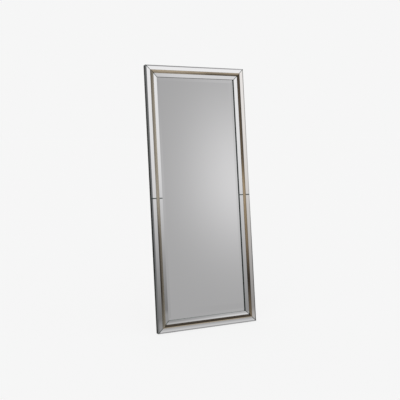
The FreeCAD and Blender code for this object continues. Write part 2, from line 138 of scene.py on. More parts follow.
# --- Node trees ---------------------------------------------------------------------------------
class Wiring:
    """Short calls that add nodes to one tree and join them."""

    def __init__(self, tree: bpy.types.NodeTree) -> None:
        """Keeps the tree that the calls add to."""
        self.tree = tree

    def node(self, kind: str, inputs: dict | None = None, **settings: object) -> bpy.types.Node:
        """Adds one node.

        Args:
            kind: The node's type name.
            inputs: Values or sockets for its inputs, by name or number.
            settings: Properties set on the node before its inputs.

        Returns:
            The new node.
        """
        made = self.tree.nodes.new(kind)
        for name, value in settings.items():
            setattr(made, name, value)
        for key, value in (inputs or {}).items():
            self.feed(made.inputs[key], value)
        return made

    def feed(self, target: Socket, value: object) -> None:
        """Links a socket into an input, or sets the input to a plain value.

        Args:
            target: The input.
            value: A socket, or a number, vector, colour or material.
        """
        if isinstance(value, bpy.types.NodeSocket):
            self.tree.links.new(value, target)
        elif isinstance(value, (tuple, list, Vector)) and target.type == "RGBA":
            target.default_value = (*value[:3], 1.0)
        else:
            target.default_value = value

    def gather(self, parts: tuple[Socket, ...], target: Socket) -> None:
        """Links every part into one input that takes many."""
        for part in parts:
            self.tree.links.new(part, target)

    def math(self, operation: str, *values: object, clamp: bool = False) -> Socket:
        """A Math node's result, kept between 0 and 1 where clamp says so."""
        inputs = dict(enumerate(values))
        return self.node("ShaderNodeMath", inputs, operation=operation, use_clamp=clamp).outputs[0]

    def times(self, first: object, second: object, clamp: bool = False) -> Socket:
        """One number times another."""
        return self.math("MULTIPLY", first, second, clamp=clamp)

    def plus(self, first: object, second: object, clamp: bool = False) -> Socket:
        """One number plus another."""
        return self.math("ADD", first, second, clamp=clamp)

    def minus(self, first: object, second: object) -> Socket:
        """One number less another."""
        return self.math("SUBTRACT", first, second)

    def over(self, first: object, second: object) -> Socket:
        """One number divided by another."""
        return self.math("DIVIDE", first, second)

    def vector(self, operation: str, *values: object) -> Socket:
        """A Vector Math node's result: a number for products and lengths, else a vector."""
        made = self.node("ShaderNodeVectorMath", dict(enumerate(values)), operation=operation)
        return made.outputs["Value" if operation in ("DOT_PRODUCT", "LENGTH") else "Vector"]

    def scaled(self, vector: Socket, factor: object) -> Socket:
        """A vector times a number."""
        inputs = {"Vector": vector, "Scale": factor}
        return self.node("ShaderNodeVectorMath", inputs, operation="SCALE").outputs["Vector"]

    def split(self, vector: Socket) -> list[Socket]:
        """The three numbers of a vector."""
        return list(self.node("ShaderNodeSeparateXYZ", {"Vector": vector}).outputs)

    def xyz(self, x: object = 0.0, y: object = 0.0, z: object = 0.0) -> Socket:
        """A vector of three numbers."""
        return self.node("ShaderNodeCombineXYZ", {"X": x, "Y": y, "Z": z}).outputs[0]

    def grey(self, level: Socket) -> Socket:
        """A colour with the same level in each part."""
        return self.node("ShaderNodeCombineColor", {0: level, 1: level, 2: level}).outputs[0]

    def fade(self, value: Socket, low: float, high: float, first: float = 0.0, last: float = 1.0) -> Socket:
        """A smooth change from first to last while the value goes from low to high."""
        inputs = {"Value": value, "From Min": low, "From Max": high, "To Min": first, "To Max": last}
        return self.node("ShaderNodeMapRange", inputs, interpolation_type="SMOOTHSTEP").outputs["Result"]

    def blend(self, factor: object, first: object, second: object, mode: str = "MIX") -> Socket:
        """Mixes two colours.

        Args:
            factor: How much of the second is in the result.
            first: The first colour.
            second: The second colour.
            mode: How they mix.

        Returns:
            The mixed colour.
        """
        made = self.node("ShaderNodeMix", data_type="RGBA", blend_type=mode)
        colours = [socket for socket in made.inputs if socket.type == "RGBA"]
        self.feed(made.inputs["Factor"], factor)
        self.feed(colours[0], first)
        self.feed(colours[1], second)
        return next(socket for socket in made.outputs if socket.type == "RGBA")

    def noise(self, place: Socket, scale: object, detail: float = 3.0, rough: float = 0.5) -> Socket:
        """Soft noise from 0 to 1 about 0.5."""
        inputs = {"Vector": place, "Scale": scale, "Detail": detail, "Roughness": rough}
        return self.node("ShaderNodeTexNoise", inputs).outputs["Fac"]

    def ramp(self, value: Socket, stops: list[Pair], easing: str) -> Socket:
        """Greys that a value picks from a ramp.

        Args:
            value: A value from 0 to 1.
            stops: Place and level of each stop, in order.
            easing: How the levels run into each other.

        Returns:
            The grey.
        """
        made = self.node("ShaderNodeValToRGB", {"Fac": value})
        made.color_ramp.interpolation = easing
        elements = made.color_ramp.elements
        while len(elements) < len(stops):
            elements.new(0.5)
        for element, (place, level) in zip(elements, stops):
            element.position = place
            element.color = (level, level, level, 1.0)
        return made.outputs["Color"]

    def mix_shaders(self, factor: object, first: Socket, second: Socket) -> Socket:
        """Two shaders mixed by a factor."""
        return self.node("ShaderNodeMixShader", {0: factor, 1: first, 2: second}).outputs[0]

    def position(self) -> Socket:
        """The place of each point of a geometry."""
        return self.node("GeometryNodeInputPosition").outputs[0]


class ShaderGroup:
    """A shader node group that is built once and placed in many materials."""

    name = ""
    takes: dict[str, str] = {}
    gives: dict[str, str] = {}

    @classmethod
    def tree(cls) -> bpy.types.NodeTree:
        """Finds the group's tree, or builds it at the first call.

        Returns:
            The tree.
        """
        found = bpy.data.node_groups.get(cls.name)
        if found:
            return found
        made = bpy.data.node_groups.new(cls.name, "ShaderNodeTree")
        for direction, sockets in (("INPUT", cls.takes), ("OUTPUT", cls.gives)):
            for label, kind in sockets.items():
                made.interface.new_socket(label, in_out=direction, socket_type=f"NodeSocket{kind}")
        wiring = Wiring(made)
        entry = wiring.node("NodeGroupInput")
        results = cls.build(wiring, {label: entry.outputs[label] for label in cls.takes})
        wiring.node("NodeGroupOutput", results)
        return made

    @classmethod
    def build(cls, wiring: Wiring, given: Sockets) -> Sockets:
        """Adds the group's nodes.

        Args:
            wiring: The group's wiring.
            given: The socket of each input, by name.

        Returns:
            The socket behind each output, by name.
        """
        raise NotImplementedError

    @classmethod
    def place(cls, wiring: Wiring, **inputs: object) -> Sockets:
        """Places the group in a material.

        Args:
            wiring: The material's wiring.
            inputs: Values or sockets, by input name with _ for each space.

        Returns:
            The group's outputs, by name.
        """
        made = wiring.node("ShaderNodeGroup", node_tree=cls.tree())
        for label, value in inputs.items():
            wiring.feed(made.inputs[label.replace("_", " ")], value)
        return {socket.name: socket for socket in made.outputs}


class BevelledSilvering(ShaderGroup):
    """Turns the normal as glass silvered on its flat back does under a ground bevel.

    Light bends where it goes in and where it comes out, so a bevel shows the room as if the
    mirror there were turned the other way by a little over half of the bevel's angle.
    """

    name = "bevelled_silvering"
    takes = {"Flat Normal": "Vector", "Index": "Float"}
    gives = {"Front": "Float", "Bevel": "Float", "Normal": "Vector"}
    front_likeness: Pair = (0.5, 0.6)
    bevel_likeness: Pair = (0.9995, 0.998)

    @classmethod
    def build(cls, wiring: Wiring, given: Sockets) -> Sockets:
        """Adds the group's nodes.

        Args:
            wiring: The group's wiring.
            given: The socket of each input, by name.

        Returns:
            The socket behind each output, by name.
        """
        face = wiring.node("ShaderNodeNewGeometry").outputs["True Normal"]
        flat, index = given["Flat Normal"], given["Index"]
        likeness = wiring.vector("DOT_PRODUCT", face, flat)
        front = wiring.fade(likeness, *cls.front_likeness)
        bevel = wiring.fade(likeness, *cls.bevel_likeness)
        against = wiring.scaled(face, wiring.minus(index, 1.0))
        turned = wiring.vector("SUBTRACT", wiring.scaled(flat, index), against)
        mixed = wiring.node("ShaderNodeMix", {"Factor": front}, data_type="VECTOR")
        vectors = [socket for socket in mixed.inputs if socket.type == "VECTOR"]
        wiring.feed(vectors[-2], face)
        wiring.feed(vectors[-1], turned)
        result = next(socket for socket in mixed.outputs if socket.type == "VECTOR")
        return {"Front": front, "Bevel": bevel, "Normal": wiring.vector("NORMALIZE", result)}


class HandMarks(ShaderGroup):
    """Faint wipe marks and settled dust, as a mask from 0 to 1."""

    name = "hand_marks"
    takes = {"Place": "Vector", "Scale": "Float", "Amount": "Float"}
    gives = {"Mask": "Float"}
    wipe_squeeze: Colour = (1.0, 1.0, 0.3)
    wipe_share = 0.6
    speck_fineness = 40.0

    @classmethod
    def build(cls, wiring: Wiring, given: Sockets) -> Sockets:
        """Adds the group's nodes.

        Args:
            wiring: The group's wiring.
            given: The socket of each input, by name.

        Returns:
            The socket behind each output, by name.
        """
        place, scale = given["Place"], given["Scale"]
        stretched = wiring.node("ShaderNodeMapping", {"Vector": place, "Scale": cls.wipe_squeeze})
        wiped = wiring.fade(wiring.noise(stretched.outputs[0], scale, 2.0), 0.45, 0.75)
        fine = wiring.noise(place, wiring.times(scale, cls.speck_fineness), 4.0, 0.7)
        specks = wiring.fade(fine, 0.62, 0.8)
        both = wiring.math("MAXIMUM", wiring.times(wiped, cls.wipe_share), specks)
        return {"Mask": wiring.times(both, given["Amount"], clamp=True)}


class CutEdges(ShaderGroup):
    """Dark bands on mirror strips beside the mitres and at the butt joints at mid height."""

    name = "cut_edges"
    takes = {"Place": "Vector", "Half Size": "Vector", "Mitre Band": "Float", "Butt Band": "Float"}
    gives = {"Mask": "Float"}
    soft_from = 0.75

    @classmethod
    def build(cls, wiring: Wiring, given: Sockets) -> Sockets:
        """Adds the group's nodes.

        Args:
            wiring: The group's wiring.
            given: The socket of each input, by name.

        Returns:
            The socket behind each output, by name.
        """
        place, half = wiring.split(given["Place"]), wiring.split(given["Half Size"])
        from_middle = wiring.math("ABSOLUTE", wiring.minus(place[2], half[2]))
        from_side = wiring.minus(half[0], wiring.math("ABSOLUTE", place[0]))
        from_end = wiring.minus(half[2], from_middle)
        beside = wiring.math("ABSOLUTE", wiring.minus(from_side, from_end))
        mitre = wiring.over(wiring.times(beside, math.sqrt(0.5)), given["Mitre Band"])
        butt = wiring.over(from_middle, given["Butt Band"])
        return {"Mask": wiring.fade(wiring.math("MINIMUM", mitre, butt), 1.0, cls.soft_from)}


class DrawnGrain(ShaderGroup):
    """Long fine lines along one direction, as on planed wood, drawn wire or brushed steel."""

    name = "drawn_grain"
    takes = {"Place": "Vector", "Squeeze": "Vector", "Scale": "Float"}
    gives = {"Lines": "Float"}

    @classmethod
    def build(cls, wiring: Wiring, given: Sockets) -> Sockets:
        """Adds the group's nodes and returns the socket behind each output."""
        squeezed = wiring.vector("MULTIPLY", given["Place"], given["Squeeze"])
        return {"Lines": wiring.noise(squeezed, given["Scale"], 5.0, 0.6)}


# --- Finishes -----------------------------------------------------------------------------------
class Coat:
    """One new material with a Principled shader, read in the mirror's upright frame."""

    def __init__(self, name: str) -> None:
        """Makes the material.

        Args:
            name: The material's name.
        """
        self.material = bpy.data.materials.new(name)
        self.material.use_nodes = True
        self.wiring = Wiring(self.material.node_tree)
        nodes = self.material.node_tree.nodes
        self.shader = next(node for node in nodes if node.type == "BSDF_PRINCIPLED")
        self.place = self.wiring.node("ShaderNodeMapping", {
            "Vector": self.wiring.node("ShaderNodeTexCoord").outputs["Object"],
            "Location": LEAN.matrix.inverted().translation,
            "Rotation": (math.radians(LEAN.degrees), 0.0, 0.0),
        }).outputs[0]

    def set(self, **inputs: object) -> None:
        """Feeds the shader's inputs, by name with _ for each space."""
        for label, value in inputs.items():
            self.wiring.feed(self.shader.inputs[label.replace("_", " ")], value)

    def bump(self, height: Socket, depth: float, **inputs: object) -> None:
        """Feeds a bump of this depth in metres into the shader's normal."""
        made = self.wiring.node("ShaderNodeBump", {"Height": height, "Distance": depth, **inputs})
        self.set(Normal=made.outputs[0])

    def grain(self, squeeze: Colour, scale: float) -> Socket:
        """Long fine lines of some scale, squeezed along the grain."""
        lines = DrawnGrain.place(self.wiring, Place=self.place, Squeeze=squeeze, Scale=scale)
        return lines["Lines"]

    def marks(self, scale: float, amount: float) -> Socket:
        """Wipe marks and dust of some scale and amount, as a mask."""
        return HandMarks.place(self.wiring, Place=self.place, Scale=scale, Amount=amount)["Mask"]


class Finish:
    """Base of the finishes, each of which paints a new material in its own way."""

    def make(self, name: str) -> bpy.types.Material:
        """Makes a material with this finish.

        Args:
            name: The material's name.

        Returns:
            The material.
        """
        coat = Coat(name)
        self.paint(coat)
        return coat.material

    def paint(self, coat: Coat) -> None:
        """Wires the finish into a new material."""
        raise NotImplementedError


@dataclass(frozen=True)
class PaintedReflection:
    """How light or dark one side's glass is painted: painted reflection, light and shade, as a share of its
    silver.

    painted_tint is for the whole face and bevel for its ground edge. foot and bevel_foot are shares of
    these two at the lower height of climb, and rise or fall to 1 at the upper one: painted shade or
    light towards the floor. left_bevel is for the bevel along the left, and edge is how much paler
    than its own green the cut edge is, which above 1 is painted light on it.
    """

    painted_tint: Colour = (1.0, 1.0, 1.0)
    edge: float = 1.0
    left_bevel: float = 1.0
    bevel: float = 1.0
    foot: float = 1.0
    bevel_foot: float = 1.0
    climb: Pair = (0.0, SIZES.height / 2)


@dataclass(frozen=True)
class SilveredGlass(Finish):
    """Float glass silvered on its back, with dark green cut edges.

    flat_normal is the direction of its flat front in the world, painted_reflection is the painted
    light and shade on its silver, and cut says that it is a strip with mitred or butted ends.
    """

    flat_normal: Vector
    painted_reflection: PaintedReflection
    cut: bool
    silver: Colour = (0.865, 0.860, 0.868)
    edge: Colour = (0.075, 0.105, 0.092)
    edge_paler: float = 1.6
    edge_fineness: float = 60.0
    edge_rough: float = 0.16
    face_rough: float = 0.012
    marks: Pair = (3.0, 0.5)
    smear_rough: float = 0.03
    smear_tone: float = 0.965
    wave_fineness: float = 5.0
    wave: float = 0.03 * MM
    mitre_band: float = 2.1 * MM
    butt_band: float = 3.4 * MM
    cut_depth: float = 0.93
    leftward: Pair = (-0.02, -0.06)

    def level(self, coat: Coat, bevel: Socket) -> Socket:
        """The painted reflection level of the face, by height, on its flat and on its bevel: painted light
        and shade.

        Args:
            coat: The new material.
            bevel: A mask of the bevel.

        Returns:
            The level.
        """
        wiring, painted_reflection = coat.wiring, self.painted_reflection
        height = wiring.split(coat.place)[2]
        facing = wiring.split(wiring.node("ShaderNodeNewGeometry").outputs["True Normal"])[0]
        on_flat = wiring.fade(height, *painted_reflection.climb, painted_reflection.foot, 1.0)
        on_bevel = wiring.fade(height, *painted_reflection.climb, painted_reflection.bevel_foot * painted_reflection.bevel, painted_reflection.bevel)
        on_bevel = wiring.times(on_bevel, wiring.fade(facing, *self.leftward, 1.0, painted_reflection.left_bevel))
        return wiring.plus(on_flat, wiring.times(bevel, wiring.minus(on_bevel, on_flat)))

    def paint(self, coat: Coat) -> None:
        """Wires the glass.

        Args:
            coat: The new material.
        """
        wiring = coat.wiring
        turn = BevelledSilvering.place(wiring, Flat_Normal=self.flat_normal, Index=GLASS_INDEX)
        front, marks = turn["Front"], coat.marks(*self.marks)
        # painted_tint paints the side's silver lighter, darker or warmer as painted reflection.
        sheet = tuple(painted_tint * part for painted_tint, part in zip(self.painted_reflection.painted_tint, self.silver))
        face = wiring.blend(marks, sheet, toned(sheet, self.smear_tone))
        # Painted reflection and shade: the silver times the level painted by height and bevel.
        face = wiring.blend(1.0, face, wiring.grey(self.level(coat, turn["Bevel"])), "MULTIPLY")
        if self.cut:
            half = (SIZES.width / 2, 0.0, SIZES.height / 2)
            bands = CutEdges.place(
                wiring, Place=coat.place, Half_Size=half,
                Mitre_Band=self.mitre_band, Butt_Band=self.butt_band)
            face = wiring.blend(wiring.times(bands["Mask"], self.cut_depth), face, self.edge)
        # A painted_reflection edge above 1 paints light on the cut edge.
        rim = toned(self.edge, self.painted_reflection.edge)
        uneven = wiring.noise(coat.place, self.edge_fineness, 2.0)
        edge = wiring.blend(uneven, rim, toned(rim, self.edge_paler))
        rough = wiring.fade(front, 0.0, 1.0, self.edge_rough, self.face_rough)
        coat.set(
            Base_Color=wiring.blend(front, edge, face),
            Metallic=front,
            Roughness=wiring.plus(rough, wiring.times(marks, self.smear_rough)),
        )
        coat.bump(wiring.noise(coat.place, self.wave_fineness, 1.0), self.wave, Normal=turn["Normal"])


@dataclass(frozen=True)
class PaintedBeadShading:
    """Painted light and shade on one side's bead, from the dark painted shade at 0 to bare leaf at 1.

    outer and inner run along the bead in equal steps, at its outer and its inner edge, and turn
    says where across the bead the one changes into the other. warmth goes from pale leaf at 0
    to warm leaf at 1, set per side with the painted reflection.
    """

    outer: tuple[float, ...]
    inner: tuple[float, ...]
    warmth: float
    turn: Pair = (0.05, 0.95)


@dataclass(frozen=True)
class ChampagneLeaf(Finish):
    """Champagne metal leaf on a side's timber bead, rubbed to a satin, with painted light and shade laid over
    it in a dark colour.
    """

    side: Side
    rub: PaintedBeadShading
    pale_leaf: Colour = (0.61, 0.55, 0.445)
    warm_leaf: Colour = (0.60, 0.46, 0.295)
    painted_shade: Colour = (0.060, 0.046, 0.033)
    leaf_length: float = 85.0 * MM
    lap_width: float = 0.9 * MM
    lap_share: float = 0.12
    streak_share: float = 0.5
    streak_fineness: float = 330.0
    rub_fineness: float = 1400.0
    lap_fineness: float = 90.0
    metal: Pair = (0.75, 0.95)
    rough: Pair = (0.22, 0.34)
    squeeze: float = 0.02
    relief: float = 0.03 * MM

    def along_bead(self, coat: Coat, run: Socket, levels: tuple[float, ...]) -> Socket:
        """A value that goes smoothly through levels while run goes from 0 to 1."""
        last = len(levels) - 1
        return coat.wiring.ramp(run, [(step / last, level) for step, level in enumerate(levels)], "EASE")

    def paint(self, coat: Coat) -> None:
        """Wires the leaf.

        Args:
            coat: The new material.
        """
        wiring, rub, upright = coat.wiring, self.rub, self.side.upright
        along = (0.0, 0.0, 1.0) if upright else (1.0, 0.0, 0.0)
        half_across = SIZES.width / 2 if upright else SIZES.height / 2
        centred = wiring.vector("SUBTRACT", coat.place, Vector((0.0, 0.0, SIZES.height / 2)))
        run = wiring.vector("DOT_PRODUCT", centred, along)
        share = wiring.plus(wiring.over(run, SIZES.length(self.side)), 0.5)
        outward = wiring.vector("DOT_PRODUCT", centred, self.side.outward)
        across = wiring.over(wiring.minus(half_across - SIZES.outer_strip, outward), SIZES.bead)
        squeeze = tuple(self.squeeze if part else 1.0 for part in along)
        streaks = coat.grain(squeeze, self.streak_fineness)
        rubbed = coat.grain(squeeze, self.rub_fineness)
        outer, inner = (self.along_bead(coat, share, levels) for levels in (rub.outer, rub.inner))
        # Painted light and shade: levels along the bead's outer and inner edge, blended across it.
        level = wiring.blend(wiring.fade(across, *rub.turn), outer, inner)
        uneven = wiring.plus(wiring.times(wiring.minus(streaks, 0.5), self.streak_share), 1.0)
        level = wiring.times(level, uneven, clamp=True)
        lap = wiring.fade(wiring.math("PINGPONG", run, self.leaf_length / 2), 0.0, self.lap_width, 1.0, 0.0)
        laps = wiring.times(lap, wiring.fade(wiring.noise(coat.place, self.lap_fineness, 3.0), 0.45, 0.62))
        leaf = tuple(pale + rub.warmth * (warm - pale) for pale, warm in zip(self.pale_leaf, self.warm_leaf))
        # Where the level is low the dark painted_shade colour stands in for shade and dim reflection;
        # metallic falls with it.
        colour = wiring.blend(level, self.painted_shade, leaf)
        coat.set(
            Base_Color=wiring.blend(wiring.times(laps, self.lap_share), colour, leaf),
            Metallic=wiring.fade(level, 0.0, 0.5, *self.metal),
            Roughness=wiring.fade(rubbed, 0.3, 0.7, *self.rough),
        )
        coat.bump(wiring.plus(wiring.times(rubbed, 0.3), wiring.times(laps, 0.5)), self.relief)


@dataclass(frozen=True)
class CoreLacquer(Finish):
    """Black-brown lacquer sprayed on fibreboard: a low sheen with a fine orange peel."""

    dark: Colour = (0.0085, 0.0085, 0.0062)
    worn: Colour = (0.024, 0.022, 0.017)
    cloudy: float = 1.5
    cloud_fineness: float = 14.0
    marks: Pair = (7.0, 0.7)
    rough: Pair = (0.22, 0.32)
    sheen: float = 0.05
    peel_fineness: float = 420.0
    peel: float = 0.04 * MM

    def paint(self, coat: Coat) -> None:
        """Wires the lacquer.

        Args:
            coat: The new material.
        """
        wiring = coat.wiring
        cloud = wiring.noise(coat.place, self.cloud_fineness, 3.0)
        base = wiring.blend(cloud, self.dark, toned(self.dark, self.cloudy))
        coat.set(
            Base_Color=wiring.blend(coat.marks(*self.marks), base, self.worn),
            Roughness=wiring.fade(cloud, 0.3, 0.7, *self.rough),
            Specular_IOR_Level=self.sheen,
        )
        coat.bump(wiring.noise(coat.place, self.peel_fineness, 2.0), self.peel)


@dataclass(frozen=True)
class Hardboard(Finish):
    """Smooth brown hardboard: pressed fibres, darker flecks and a few scuffs."""

    light: Colour = (0.26, 0.165, 0.092)
    dark: Colour = (0.135, 0.08, 0.042)
    scuff: Colour = (0.40, 0.30, 0.20)
    cloudy: float = 0.8
    cloud_fineness: float = 9.0
    fibre_fineness: float = 700.0
    fleck_fineness: float = 170.0
    scuff_fineness: float = 26.0
    scuff_squeeze: Colour = (0.15, 1.0, 1.0)
    rough: Pair = (0.45, 0.62)
    fibre_depth: float = 0.12 * MM

    def paint(self, coat: Coat) -> None:
        """Wires the board.

        Args:
            coat: The new material.
        """
        wiring, place = coat.wiring, coat.place
        cloud = wiring.fade(wiring.noise(place, self.cloud_fineness, 5.0, 0.6), 0.3, 0.7)
        fibres = wiring.noise(place, self.fibre_fineness, 4.0, 0.7)
        flecks = wiring.fade(wiring.noise(place, self.fleck_fineness, 3.0, 0.6), 0.6, 0.72, 0.0, 0.7)
        scratched = coat.grain(self.scuff_squeeze, self.scuff_fineness)
        scuffs = wiring.fade(scratched, 0.66, 0.74, 0.0, 0.35)
        base = wiring.blend(cloud, self.light, toned(self.light, self.cloudy))
        base = wiring.blend(wiring.fade(fibres, 0.35, 0.75, 0.0, 0.5), base, self.dark)
        base = wiring.blend(flecks, base, self.dark)
        coat.set(
            Base_Color=wiring.blend(scuffs, base, self.scuff),
            Roughness=wiring.fade(fibres, 0.3, 0.7, *self.rough),
        )
        coat.bump(fibres, self.fibre_depth)


@dataclass(frozen=True)
class Softwood(Finish):
    """Sawn pale softwood with growth lines and saw marks, squeezed along its grain."""

    squeeze: Colour
    early: Colour = (0.62, 0.44, 0.26)
    late: Colour = (0.40, 0.24, 0.12)
    grain_fineness: float = 220.0
    saw_fineness: float = 900.0
    saw_depth: float = 0.2 * MM
    rough: Pair = (0.6, 0.8)

    def paint(self, coat: Coat) -> None:
        """Wires the timber.

        Args:
            coat: The new material.
        """
        wiring = coat.wiring
        lines = coat.grain(self.squeeze, self.grain_fineness)
        sawn = wiring.noise(coat.place, self.saw_fineness, 2.0)
        grain = wiring.fade(lines, 0.4, 0.68)
        coat.set(
            Base_Color=wiring.blend(grain, self.early, self.late),
            Roughness=wiring.fade(sawn, 0.2, 0.8, *self.rough),
        )
        coat.bump(wiring.plus(lines, sawn), self.saw_depth)


@dataclass(frozen=True)
class PlatedSteel(Finish):
    """Plated sheet steel or wire, with drawn lines and cloudy passivation."""

    bright: Colour = (0.62, 0.62, 0.59)
    clouded: Colour = (0.50, 0.49, 0.44)
    rough: Pair = (0.24, 0.40)
    squeeze: Colour = (1.0, 1.0, 0.06)
    cloud_fineness: float = 55.0
    line_fineness: float = 1500.0
    line_depth: float = 0.02 * MM

    def paint(self, coat: Coat) -> None:
        """Wires the plating.

        Args:
            coat: The new material.
        """
        wiring = coat.wiring
        cloud = wiring.fade(wiring.noise(coat.place, self.cloud_fineness, 4.0, 0.6), 0.35, 0.7)
        lines = coat.grain(self.squeeze, self.line_fineness)
        coat.set(
            Base_Color=wiring.blend(cloud, self.bright, self.clouded),
            Roughness=wiring.fade(lines, 0.3, 0.7, *self.rough),
            Metallic=1.0,
        )
        coat.bump(lines, self.line_depth)


@dataclass(frozen=True)
class MouldedRubber(Finish):
    """Matt black moulded rubber with a dusty bloom."""

    black: Colour = (0.022, 0.022, 0.023)
    bloom: Colour = (0.075, 0.073, 0.070)
    marks: Pair = (30.0, 0.8)
    rough: Pair = (0.62, 0.8)
    pore_fineness: float = 1600.0
    pore_depth: float = 0.08 * MM

    def paint(self, coat: Coat) -> None:
        """Wires the rubber.

        Args:
            coat: The new material.
        """
        wiring = coat.wiring
        pores = wiring.noise(coat.place, self.pore_fineness, 2.0)
        coat.set(
            Base_Color=wiring.blend(coat.marks(*self.marks), self.black, self.bloom),
            Roughness=wiring.fade(pores, 0.3, 0.7, *self.rough),
        )
        coat.bump(pores, self.pore_depth)


def dress(material: bpy.types.Material, *nodes: str) -> None:
    """Gives CAD nodes their material.

    Args:
        material: What each node gets in each of its slots.
        nodes: The CAD nodes' names.
    """
    for node in nodes:
        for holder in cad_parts[node].material_slots:
            holder.material = material
        LOG.info("%s: %s", node, material.name)


# --- Geometry Nodes -----------------------------------------------------------------------------
class ShapeTree:
    """A Geometry Nodes tree with named inputs, run once on a helper to give a plain mesh."""

    def __init__(self, name: str, takes: dict[str, tuple[str, object]]) -> None:
        """Makes the tree and its inputs.

        Args:
            name: The tree's name.
            takes: Socket kind and value of each input, by name.
        """
        self.tree = bpy.data.node_groups.new(name, "GeometryNodeTree")
        for direction in ("INPUT", "OUTPUT"):
            self.tree.interface.new_socket("Geometry", in_out=direction, socket_type="NodeSocketGeometry")
        self.values = {label: value for label, (_, value) in takes.items()}
        for label, (kind, _) in takes.items():
            self.tree.interface.new_socket(label, in_out="INPUT", socket_type=f"NodeSocket{kind}")
        self.wiring = Wiring(self.tree)
        self.entry = self.wiring.node("NodeGroupInput")

    def given(self, label: str) -> Socket:
        """The socket of a named input."""
        return self.entry.outputs[label]

    def close(self, geometry: Socket) -> None:
        """Realizes the instances, sets the material and ends the tree.

        Args:
            geometry: What the tree has made.
        """
        realized = self.wiring.node("GeometryNodeRealizeInstances", {"Geometry": geometry})
        inputs = {"Geometry": realized.outputs[0], "Material": self.given("Material")}
        painted = self.wiring.node("GeometryNodeSetMaterial", inputs)
        self.wiring.node("NodeGroupOutput", {"Geometry": painted.outputs[0]})

    def mesh(self, name: str, points: list[Vector] | None = None) -> bpy.types.Mesh:
        """Runs the tree.

        Args:
            name: The mesh's name.
            points: Loose points that the tree starts from.

        Returns:
            The plain mesh that the tree makes.
        """
        seed = bpy.data.meshes.new(f"{name}_points")
        seed.from_pydata([tuple(point) for point in points or []], [], [])
        helper = add_object(f"{name}_helper", seed)
        modifier = helper.modifiers.new("shape", "NODES")
        modifier.node_group = self.tree
        for item in self.tree.interface.items_tree:
            if item.in_out == "INPUT" and item.name in self.values:
                modifier[item.identifier] = self.values[item.name]
        graph = bpy.context.evaluated_depsgraph_get()
        made = bpy.data.meshes.new_from_object(helper.evaluated_get(graph), depsgraph=graph)
        helper.modifiers.remove(modifier)
        bpy.data.objects.remove(helper)
        made.name = name
        return made


def stand(name: str, mesh: bpy.types.Mesh, slot: str, *nodes: str) -> None:
    """Leans a mesh of the upright frame and lets it stand for CAD nodes.

    Args:
        name: The new piece's name.
        mesh: Its mesh, in the upright frame.
        slot: The record's material slot; not used.
        nodes: The CAD nodes that it replaces.
    """
    mesh.transform(LEAN.matrix)
    piece = add_object(name, mesh)
    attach(piece, MIRROR_BODY)
    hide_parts(*nodes)
    LOG.info("%s: %d faces", name, len(mesh.polygons))


# --- Sub-assemblies -----------------------------------------------------------------------------
@dataclass
class MirrorSheet:
    """The main glass, with its wide bevel."""

    node: str = "mirror_glass"
    # Painted shade: the left bevel of the main glass is painted a little darker.
    painted_reflection: PaintedReflection = PaintedReflection(left_bevel=0.92)

    def build(self) -> None:
        """Dresses the main glass."""
        glass = SilveredGlass(LEAN.direction(FORWARD), self.painted_reflection, cut=False)
        dress(glass.make("main_mirror_glass"), self.node)


@dataclass
class StripRing:
    """One ring of six mirror strips, tilted outwards by some degrees.

    painted_reflections gives each side's painted light and shade on its glass, and twists turns a
    side's reflection about the upright axis by some degrees, as a strip does that was bedded a little off.
    """

    kind: str
    tilt: float
    painted_reflections: dict[Side, PaintedReflection]
    twists: dict[Side, float] = field(default_factory=dict)

    def facing(self, side: Side) -> Vector:
        """The direction of a strip's flat front.

        Args:
            side: The strip's side.

        Returns:
            The direction in the world.
        """
        angle = math.radians(self.tilt)
        upright = FORWARD * math.cos(angle) + side.outward * math.sin(angle)
        twist = Matrix.Rotation(math.radians(self.twists.get(side, 0.0)), 3, "Z")
        return LEAN.direction(twist @ upright)

    def build(self) -> None:
        """Dresses the six strips, with one material for each side."""
        for side in Side:
            glass = SilveredGlass(self.facing(side), self.painted_reflections.get(side, PaintedReflection()), cut=True)
            material = glass.make(f"{self.kind}_strip_glass_{side.word}")
            stem = f"{self.kind}_strip_{side.word}"
            lengths = (f"{stem}_lower", f"{stem}_upper") if side.upright else (stem,)
            dress(material, *lengths)


# Painted reflection on the outer strips: each bevel painted darker, the left face darker towards the floor,
# and the right face warmer and a little lighter low down, with its bevel much darker there.
OUTER_RING = StripRing("outer", SIZES.outer_tilt, {
    Side.LEFT: PaintedReflection(bevel=0.36, foot=0.7, bevel_foot=1.2),
    Side.RIGHT: PaintedReflection(
        painted_tint=(1.02, 0.99, 0.955), bevel=0.8, foot=1.07, bevel_foot=0.35, climb=(350.0 * MM, 950.0 * MM)),
    Side.TOP: PaintedReflection(bevel=0.72),
    Side.BOTTOM: PaintedReflection(bevel=0.78),
})
# Painted reflection on the inner strips: the left face darker towards the floor; the bottom strip painted
# darker, lighter towards its outer edge, and its cut edge painted pale as if lit from above.
INNER_RING = StripRing("inner", -SIZES.inner_tilt, {
    Side.LEFT: PaintedReflection(foot=0.75),
    Side.BOTTOM: PaintedReflection(painted_tint=(0.71, 0.71, 0.71), edge=3.0, foot=1.55, climb=(51.0 * MM, 63.0 * MM)),
}, twists={Side.TOP: 3.0})


